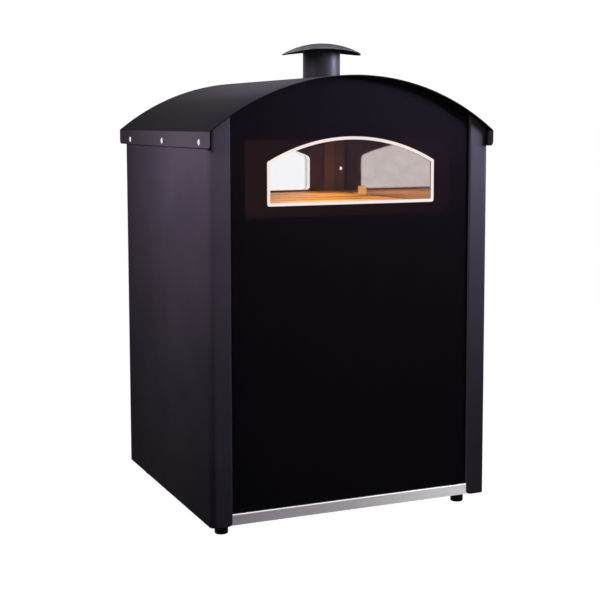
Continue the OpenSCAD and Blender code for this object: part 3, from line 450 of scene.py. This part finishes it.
MATERIALS = {
    "casing": powder_coat("casing", (0.076, 0.063, 0.084), 0.55, 0.0016),
    # Roof: plain coat on the lips, painted shade and reflection on the top
    "roof": roof_coat_painted_shade("roof", ROOF_PAINTED_SHADE_TONES, (0.076, 0.064, 0.083), 0.5, 0.003),
    "chimney": satin_paint("chimney", (0.021, 0.018, 0.025), 0.46, 0.10),
    "screws": polished_metal("screws", (0.86, 0.86, 0.87), 0.16),
    "dark_glass": pane("dark_glass", (0.97, 0.96, 0.97), 1.07, film=0.021, tint=(0.85, 0.62, 0.95)),
    "print": printed_black("print", (0.009, 0.007, 0.011), (0.0105, 0.0042, 0.003), GLOW_LOW, GLOW_HIGH),
    "light": lit_border("light", (1.0, 0.88, 0.83), 0.95),
    "inner_black": satin_paint("inner_black", (0.035, 0.034, 0.038), 0.5, 0.3),
    "brushed": brushed_metal("brushed", (0.62, 0.60, 0.60), 0.3, "x"),
    "polished": polished_metal("polished", (0.57, 0.49, 0.46), 0.05),
    "galvanised": cast_metal("galvanised", (0.55, 0.56, 0.57), 0.42, 1.0),
    "rubber": moulded("rubber", (0.006, 0.006, 0.006), 0.7, 0.05, 500, 0.3),
    "gasket": moulded("gasket", (0.25, 0.06, 0.04), 0.6, 0.4, 700, 0.3),
    "brass": polished_metal("brass", (0.92, 0.76, 0.50), 0.26),
    "element": cast_metal("element", (0.10, 0.07, 0.06), 0.55, 0.6),
    "ceramic": moulded("ceramic", (0.80, 0.78, 0.72), 0.3),
    "bulb": glowing("bulb", (1.0, 0.62, 0.32), 1.6, 0.1),
    "rockwool": mineral_wool("rockwool", (0.42, 0.36, 0.20)),
    "motor": cast_metal("motor", (0.30, 0.31, 0.33), 0.5, 0.7),
    "aluminium": polished_metal("aluminium", (0.75, 0.76, 0.77), 0.3),
    "wire": polished_metal("wire", (0.78, 0.78, 0.79), 0.14),
    "magnet": cast_metal("magnet", (0.10, 0.10, 0.11), 0.6, 0.4),
    "door_skin": satin_paint("door_skin", (0.040, 0.038, 0.042), 0.45, 0.35),
    "door_lining": satin_paint("door_lining", (0.060, 0.023, 0.005), 0.4, 0.05),
    "clear_glass": pane("clear_glass", (0.95, 0.96, 0.97), 1.3),
    "handle": moulded("handle", (0.015, 0.015, 0.016), 0.35),
    "knob": moulded("knob", (0.016, 0.016, 0.017), 0.45),
    "control_body": moulded("control_body", (0.62, 0.60, 0.54), 0.5),
    "switch_black": moulded("switch_black", (0.014, 0.014, 0.015), 0.35),
    "switch_red": moulded("switch_red", (0.45, 0.02, 0.015), 0.25),
    "lamp": moulded("lamp", (0.75, 0.28, 0.04), 0.2),
}


OWN_LOOKS = {
    # Strip: painted reflection, dimmer to the left, and a painted highlight on its upper edge
    "bottom_trim": strip_painted_reflection("strip", *STRIP_REFLECTION_TONES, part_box("bottom_trim")[1].z - STRIP_HIGHLIGHT_BAND, 0.3),
    # Hot plate: its streaks of light and dark colour are painted reflection
    "hot_plate": plate_with_painted_reflection("hot_plate", (0.51, 0.32, 0.11), 0.4),
    # Cap: painted light on its left wing, painted shade on its right
    "chimney_cap": mottled_paint_painted_light("cap", (0.19, 0.185, 0.195), (0.042, 0.039, 0.046), -0.06, 0.03, 0.6),
    # Clips: their brass colour as a pale diffuse cream, which paints in the highlights of the brass
    "plate_clips": moulded("clip", (0.95, 0.74, 0.42), 0.35),
    # Painted glints: the liner screw domes glow as if they mirrored the bulbs
    "liner_screws": glowing("dome", (1.0, 0.80, 0.58), 1.3, 0.1),
    "rear_frame": frame_sheet("rear_frame", (0.50, 0.48, 0.47), (0.145, 0.074, 0.020), 0.32),
}


TRIM_LOOK = polished_metal("trim", (0.90, 0.89, 0.89), 0.10)
PRINT_LOOK = moulded("print_white", (0.78, 0.78, 0.76), 0.5, 0.3)


def dress_nodes():
    """Every node of the frame takes the material of its slot, or its own look."""
    for name, node in nodes.items():
        node.data.materials.clear()
        node.data.materials.append(OWN_LOOKS.get(name) or MATERIALS[slot_of[name]])


# New pieces

HEX = 6
ROUND_STEPS = 48


def add_piece(name, mesh, look, body):
    """Object of a mesh that rides on a body and takes the given finish."""
    mesh.materials.append(look)
    piece = bpy.data.objects.new(name, mesh)
    bpy.context.scene.collection.objects.link(piece)
    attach(piece, body)
    return piece


def mesh_of(name, vertices, faces, smooth_angle=35):
    mesh = bpy.data.meshes.new(name)
    mesh.from_pydata(vertices, [], faces)
    work = bmesh.new()
    work.from_mesh(mesh)
    bmesh.ops.recalc_face_normals(work, faces=work.faces)
    for face in work.faces:
        face.smooth = True
    for edge in work.edges:
        edge.smooth = edge.is_manifold and edge.calc_face_angle(0) < math.radians(smooth_angle)
    work.to_mesh(mesh)
    work.free()
    return mesh


def screw_rings(head_r, head_h, shank_r, shank_l, socket_r, socket_depth):
    """Rings of a button-head screw as (radius at an angle, height over the sheet), from shank to socket."""
    ball = (head_r ** 2 + head_h ** 2) / (2 * head_h)

    def dome(radius):
        return math.sqrt(ball ** 2 - radius ** 2) - ball + head_h

    def hexagon(angle):
        return socket_r / math.cos(angle % (math.tau / HEX) - math.pi / HEX)

    rings = [(lambda angle: shank_r, lambda radius: -shank_l),
             (lambda angle: shank_r, lambda radius: 0.0),
             (lambda angle: head_r, lambda radius: 0.0)]
    for share in (1.0, 0.8, 0.6, 0.4, 0.2, 0.0):
        rings.append((lambda angle, share=share: hexagon(angle) + (head_r - hexagon(angle)) * share,
                      lambda radius: max(dome(radius), 0.15 * MM)))
    floor = dome(socket_r) - socket_depth
    rings.append((hexagon, lambda radius: floor))
    return rings


def add_screws(name, node, places, out, head_r, head_h, shank_r, shank_l):
    """Button-head screws with a hexagon socket, in place of the plain domes of the node."""
    rings = screw_rings(head_r, head_h, shank_r, shank_l, 0.42 * head_r, 0.55 * head_h)
    vertices, faces = [], []
    for place, direction in zip(places, out):
        axis = Vector(direction)
        side = Vector((0, 0, 1))
        other = axis.cross(side)
        start = len(vertices)
        for radius_at, height_at in rings:
            for step in range(ROUND_STEPS):
                angle = math.tau * step / ROUND_STEPS
                radius = radius_at(angle)
                vertices.append(Vector(place) + side * radius * math.cos(angle)
                                + other * radius * math.sin(angle) + axis * height_at(radius))
        for row in range(len(rings) - 1):
            for step in range(ROUND_STEPS):
                here = start + row * ROUND_STEPS + step
                after = start + row * ROUND_STEPS + (step + 1) % ROUND_STEPS
                faces.append((here, after, after + ROUND_STEPS, here + ROUND_STEPS))
        last = start + (len(rings) - 1) * ROUND_STEPS
        faces.append(tuple(range(last, last + ROUND_STEPS)))
        faces.append(tuple(range(start + ROUND_STEPS - 1, start - 1, -1)))
    piece = add_piece(name, mesh_of(name, vertices, faces), MATERIALS["screws"], "casing")
    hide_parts(node)


def add_roof_screws():
    low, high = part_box("roof_screws")
    dome_h = 2.6 * MM
    dome_r = (high.z - low.z) / 2
    middle_z = (low.z + high.z) / 2
    surface = high.x - dome_h
    rows = (low.y + dome_r, (low.y + high.y) / 2, high.y - dome_r)
    places = [(side * surface, y, middle_z) for side in (-1, 1) for y in rows]
    out = [(side, 0, 0) for side in (-1, 1) for _ in rows]
    add_screws("roof_screw_heads", "roof_screws", places, out,
               head_r=5.0 * MM, head_h=1.8 * MM, shank_r=2 * MM, shank_l=4 * MM)


def add_panel_screws():
    low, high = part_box("panel_screws")
    dome_h = 2 * MM
    dome_r = 4 * MM
    surface = high.y - dome_h
    places = [(x, surface, z) for x in (low.x + dome_r, high.x - dome_r)
              for z in (low.z + dome_r, high.z - dome_r)]
    add_screws("panel_screw_heads", "panel_screws", places, [(0, 1, 0)] * len(places),
               head_r=dome_r, head_h=1.9 * MM, shank_r=2 * MM, shank_l=6 * MM)


def arc_points(centre_x, centre_z, radius, first, last, steps):
    return [(centre_x + radius * math.cos(math.radians(first + (last - first) * step / steps)),
             centre_z + radius * math.sin(math.radians(first + (last - first) * step / steps)))
            for step in range(steps + 1)]


def crowned_outline(half, low, spring, rise, low_r, top_r, inset):
    """Outline of an upright opening with an arched top, moved inwards by inset."""
    big = (half ** 2 + rise ** 2) / (2 * rise)
    centre = spring + rise - big
    corner_x = half - top_r
    corner_z = centre + math.sqrt((big - top_r) ** 2 - corner_x ** 2)
    lean = math.degrees(math.atan2(corner_z - centre, corner_x))
    points = arc_points(half - low_r, low + low_r, low_r - inset, -90, 0, 8)
    points += arc_points(corner_x, corner_z, top_r - inset, 0, lean, 8)
    points += arc_points(0, centre, big - inset, lean, 180 - lean, 48)[1:-1]
    points += arc_points(-corner_x, corner_z, top_r - inset, 180 - lean, 180, 8)
    points += arc_points(-half + low_r, low + low_r, low_r - inset, 180, 270, 8)
    return points


def loop_strip(outer, inner, start, end):
    """Closed band between two outlines, from one depth to another."""
    count = len(outer)
    vertices = [(x, y, z) for y in (start, end) for line in (outer, inner) for x, z in line]
    faces = []
    for step in range(count):
        after = (step + 1) % count
        for first, second in ((0, 1), (1, 3), (3, 2), (2, 0)):
            faces.append((first * count + step, first * count + after,
                          second * count + after, second * count + step))
    return vertices, faces


def add_door_window_trims():
    """Bright trims that line the opening of the display door on both sides of its pane."""
    pane_low, pane_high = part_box("display_door_glass")
    hidden = 6 * MM
    rise = 25.4 * MM
    half = pane_high.x - hidden
    low = pane_low.z + hidden
    spring = pane_high.z - hidden - rise
    outer = crowned_outline(half, low, spring, rise, 7 * MM, 10 * MM, 0.05 * MM)
    inner = crowned_outline(half, low, spring, rise, 7 * MM, 10 * MM, 0.6 * MM)
    spans = {"inner_window_trim": (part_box("display_door_inner")[0].y - 0.4 * MM, pane_low.y - 0.05 * MM),
             "outer_window_trim": (pane_high.y + 0.05 * MM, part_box("display_door_outer")[1].y - 0.1 * MM)}
    for name, (start, end) in spans.items():
        mesh = mesh_of(name, *loop_strip(outer, inner, start, end))
        add_piece(name, mesh, TRIM_LOOK, "display_door")


def add_bars(name, bars, depth, look, body):
    """Thin bars with round ends on an upright face.

    A bar is (x, z, length, width, angle) and starts at x, z. An angle of 0 points up.
    """
    vertices, faces = [], []
    for x, z, length, width, angle in bars:
        along = Vector((-math.sin(angle), 0, math.cos(angle)))
        across = Vector((along.z, 0, -along.x))
        outline = []
        for step in range(7):
            turn = math.pi * step / 6
            outline.append((length - width / 2 + width / 2 * math.sin(turn), width / 2 * math.cos(turn)))
        for step in range(7):
            turn = math.pi * step / 6
            outline.append((width / 2 - width / 2 * math.sin(turn), -width / 2 * math.cos(turn)))
        start = len(vertices)
        for y in depth:
            vertices += [Vector((x, y, z)) + along * far + across * wide for far, wide in outline]
        count = len(outline)
        faces.append(tuple(range(start, start + count)))
        faces.append(tuple(range(start + 2 * count - 1, start + count - 1, -1)))
        for step in range(count):
            after = (step + 1) % count
            faces.append((start + step, start + after, start + count + after, start + count + step))
    return add_piece(name, mesh_of(name, vertices, faces), look, body)


LABEL_H = 3.4 * MM
SIZE_PER_H = 1.4
PRINT_T = 0.05 * MM


def add_label(name, words, x, z, face_y):
    """Printed label that is read from behind the oven."""
    curve = bpy.data.curves.new(name, "FONT")
    curve.body = words
    curve.size = LABEL_H * SIZE_PER_H
    curve.align_x = "CENTER"
    curve.align_y = "CENTER"
    curve.extrude = PRINT_T
    curve.materials.append(PRINT_LOOK)
    label = bpy.data.objects.new(name, curve)
    turn = Matrix(((-1, 0, 0), (0, 0, 1), (0, 1, 0))).to_4x4()
    label.matrix_world = Matrix.Translation((x, face_y + 0.06 * MM, z)) @ turn
    bpy.context.scene.collection.objects.link(label)
    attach(label, "casing")


DIALS = {"thermostat": (270, ("0", "70", "140", "210", "280"), 3),
         "timer": (300, ("0", "10", "20", "30", "40", "50", "60"), 1)}
TICK_GAP = 1.2 * MM
LONG_TICK = (2.6 * MM, 0.6 * MM)
SHORT_TICK = (1.6 * MM, 0.4 * MM)
NUMBER_GAP = 7.4 * MM
MARK_GAP = 5 * MM


def add_dial_marks():
    """Ticks, numbers and pointer line of each dial: travel in degrees, words, ticks between two words."""
    face_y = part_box("control_panel")[1].y
    print_depth = (face_y + 0.01 * MM, face_y + 0.12 * MM)
    for name, (travel, words, between_words) in DIALS.items():
        low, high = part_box(name + "_knob")
        x, z = (low.x + high.x) / 2, (low.z + high.z) / 2
        knob_r = (high.x - low.x) / 2
        gaps = len(words) - 1
        steps = gaps * (between_words + 1)
        reach = knob_r + TICK_GAP
        ticks = []
        for step in range(steps + 1):
            angle = math.radians(travel * step / steps)
            length, width = SHORT_TICK if step % (between_words + 1) else LONG_TICK
            ticks.append((x - reach * math.sin(angle), z + reach * math.cos(angle), length, width, angle))
        add_bars(name + "_ticks", ticks, print_depth, PRINT_LOOK, "casing")
        reach = knob_r + NUMBER_GAP
        for step, word in enumerate(words):
            angle = math.radians(travel * step / gaps)
            place = (x - reach * math.sin(angle), z + reach * math.cos(angle))
            add_label(f"{name}_{word}", word, *place, face_y)
        pointer = [(x, z + 0.25 * knob_r, 0.48 * knob_r, 1.2 * MM, 0.0)]
        pointer_depth = (high.y - 0.78 * MM, high.y - 0.1 * MM)
        add_bars(name + "_pointer", pointer, pointer_depth, PRINT_LOOK, name + "_dial")


def add_switch_marks():
    face_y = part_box("control_panel")[1].y
    rim_low, rim_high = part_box("switch_bodies")
    for name in ("power", "light"):
        low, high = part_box(name + "_rocker")
        x = (low.x + high.x) / 2
        add_label(name + "_on", "I", x, rim_high.z + MARK_GAP, face_y)
        add_label(name + "_off", "O", x, rim_low.z - MARK_GAP, face_y)


# Stage

FLOOR_HALF = 8.0
SOFT_LIGHT = 0.036


def background_share(tree):
    """1 for camera, glossy and transmission rays, which show the white background."""
    path = tree.nodes.new("ShaderNodeLightPath")
    first = tree.nodes.new("ShaderNodeMath")
    first.operation = "MAXIMUM"
    second = tree.nodes.new("ShaderNodeMath")
    second.operation = "MAXIMUM"
    tree.links.new(path.outputs["Is Camera Ray"], first.inputs[0])
    tree.links.new(path.outputs["Is Glossy Ray"], first.inputs[1])
    tree.links.new(first.outputs[0], second.inputs[0])
    tree.links.new(path.outputs["Is Transmission Ray"], second.inputs[1])
    return second.outputs[0]


def add_world():
    world = bpy.data.worlds.new("studio")
    world.use_nodes = True
    tree = world.node_tree
    background = tree.nodes["Background"]
    mix = tree.nodes.new("ShaderNodeMixShader")
    soft = tree.nodes.new("ShaderNodeBackground")
    soft.inputs["Color"].default_value = (0.93, 0.95, 1.0, 1)
    soft.inputs["Strength"].default_value = SOFT_LIGHT
    background.inputs["Color"].default_value = (1, 1, 1, 1)
    background.inputs["Strength"].default_value = 1.0
    tree.links.new(background_share(tree), mix.inputs[0])
    tree.links.new(soft.outputs[0], mix.inputs[1])
    tree.links.new(background.outputs[0], mix.inputs[2])
    tree.links.new(mix.outputs[0], tree.nodes["World Output"].inputs["Surface"])
    bpy.context.scene.world = world


def floor_material():
    """Pale floor: white with a faint shadow to the camera and in reflections, grey to bounced light."""
    material = bpy.data.materials.new("floor")
    material.use_nodes = True
    tree = material.node_tree
    tree.nodes.remove(tree.nodes["Principled BSDF"])
    plain = tree.nodes.new("ShaderNodeBsdfDiffuse")
    plain.inputs["Color"].default_value = (0.22, 0.22, 0.225, 1)
    lit = tree.nodes.new("ShaderNodeBsdfDiffuse")
    lit.inputs["Color"].default_value = (0.3, 0.3, 0.3, 1)
    glow = tree.nodes.new("ShaderNodeEmission")
    glow.inputs["Color"].default_value = (1, 1, 1, 1)
    glow.inputs["Strength"].default_value = 0.99
    total = tree.nodes.new("ShaderNodeAddShader")
    mix = tree.nodes.new("ShaderNodeMixShader")
    tree.links.new(lit.outputs[0], total.inputs[0])
    tree.links.new(glow.outputs[0], total.inputs[1])
    tree.links.new(background_share(tree), mix.inputs[0])
    tree.links.new(plain.outputs[0], mix.inputs[1])
    tree.links.new(total.outputs[0], mix.inputs[2])
    tree.links.new(mix.outputs[0], tree.nodes["Material Output"].inputs["Surface"])
    return material


def add_floor():
    mesh = bpy.data.meshes.new("floor")
    corners = [(-FLOOR_HALF, -FLOOR_HALF, 0), (FLOOR_HALF, -FLOOR_HALF, 0),
               (FLOOR_HALF, FLOOR_HALF, 0), (-FLOOR_HALF, FLOOR_HALF, 0)]
    mesh.from_pydata(corners, [], [(0, 1, 2, 3)])
    mesh.materials.append(floor_material())
    floor = bpy.data.objects.new("floor", mesh)
    bpy.context.scene.collection.objects.link(floor)


def add_softbox(name, place, aim, width, height, power, colour, spread_angle, in_metal=True):
    """Softbox with a grid that keeps its light within spread_angle, in degrees. Metal may mirror it."""
    data = bpy.data.lights.new(name, "AREA")
    data.spread = math.radians(spread_angle)
    data.shape = "RECTANGLE"
    data.size = width
    data.size_y = height
    data.energy = power
    data.color = colour
    light = bpy.data.objects.new(name, data)
    light.location = place
    light.rotation_euler = (Vector(aim) - Vector(place)).to_track_quat("-Z", "Y").to_euler()
    light.visible_glossy = in_metal
    bpy.context.scene.collection.objects.link(light)


WARM_WHITE = (1.0, 0.97, 0.96)
LAMP_COLOUR = (1.0, 0.62, 0.34)
LAMP_SPREAD = 110
LAMP_WIDTH = 0.8


def add_lights():
    """Four softboxes round the front and two behind, each named for its place."""
    add_softbox("key", (-0.85, -0.29, 1.15), (-0.25, -0.14, 0.70), 0.4, 0.4, 1.19, (0.95, 0.87, 1.0), 50)
    add_softbox("front_left", (-0.55, -1.0, 1.2), (-0.1, -0.25, 0.70), 0.4, 0.4, 0.31, (0.97, 1.0, 0.35), 60)
    add_softbox("front_right", (0.85, -0.8, 1.0), (0.1, -0.2, 0.75), 0.2, 0.5, 3.1, (0.79, 0.82, 1.0), 75)
    add_softbox("tube_right", (1.2, -0.8, 0.9), (0.0, -0.12, 0.76), 0.35, 0.3, 0.95, (0.72, 0.76, 1.0), 18)
    add_softbox("rear_right", (1.5, 1.0, 0.75), (0.25, 0.1, 0.42), 0.8, 0.8, 3.0, WARM_WHITE, 36, False)
    add_softbox("rear", (0.15, 2.1, 0.55), (0.0, 0.26, 0.36), 0.8, 0.6, 1.5, WARM_WHITE, 34, False)


def add_warm_light(name, place, width, depth, tilt, power):
    """Lamp in the display that shines down, turned to the rear by tilt degrees."""
    data = bpy.data.lights.new(name, "AREA")
    data.shape = "RECTANGLE"
    data.size = width
    data.size_y = depth
    data.spread = math.radians(LAMP_SPREAD)
    data.energy = power
    data.color = LAMP_COLOUR
    lamp = bpy.data.objects.new(name, data)
    lamp.location = place
    lamp.rotation_euler = (math.radians(tilt), 0, 0)
    bpy.context.scene.collection.objects.link(lamp)
    return lamp


def add_lamp_light():
    """Light of the bulbs, and the same light once the polished walls have spread it over the hot plate."""
    low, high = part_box("hot_plate")
    width = (high.x - low.x) * LAMP_WIDTH
    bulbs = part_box("lamp_bulbs")[0].z
    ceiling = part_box("display_liner")[1].z - 6 * MM
    to_right = 0.08
    add_warm_light("bulbs", (0, low.y + 0.03, bulbs), width, 0.02, 38, 0.40)
    spread_light = add_warm_light("spread_light", (to_right, (low.y + high.y) / 2, ceiling),
                                  width - 2 * to_right, 0.3, 0, 0.24)
    spread_light.visible_camera = False
    spread_light.visible_glossy = False
    spread_light.visible_transmission = False


add_camera()
dress_nodes()
add_roof_screws()
add_panel_screws()
add_door_window_trims()
add_dial_marks()
add_switch_marks()
add_world()
add_floor()
add_lights()
add_lamp_light()

bpy.context.scene.view_settings.view_transform = "Standard"
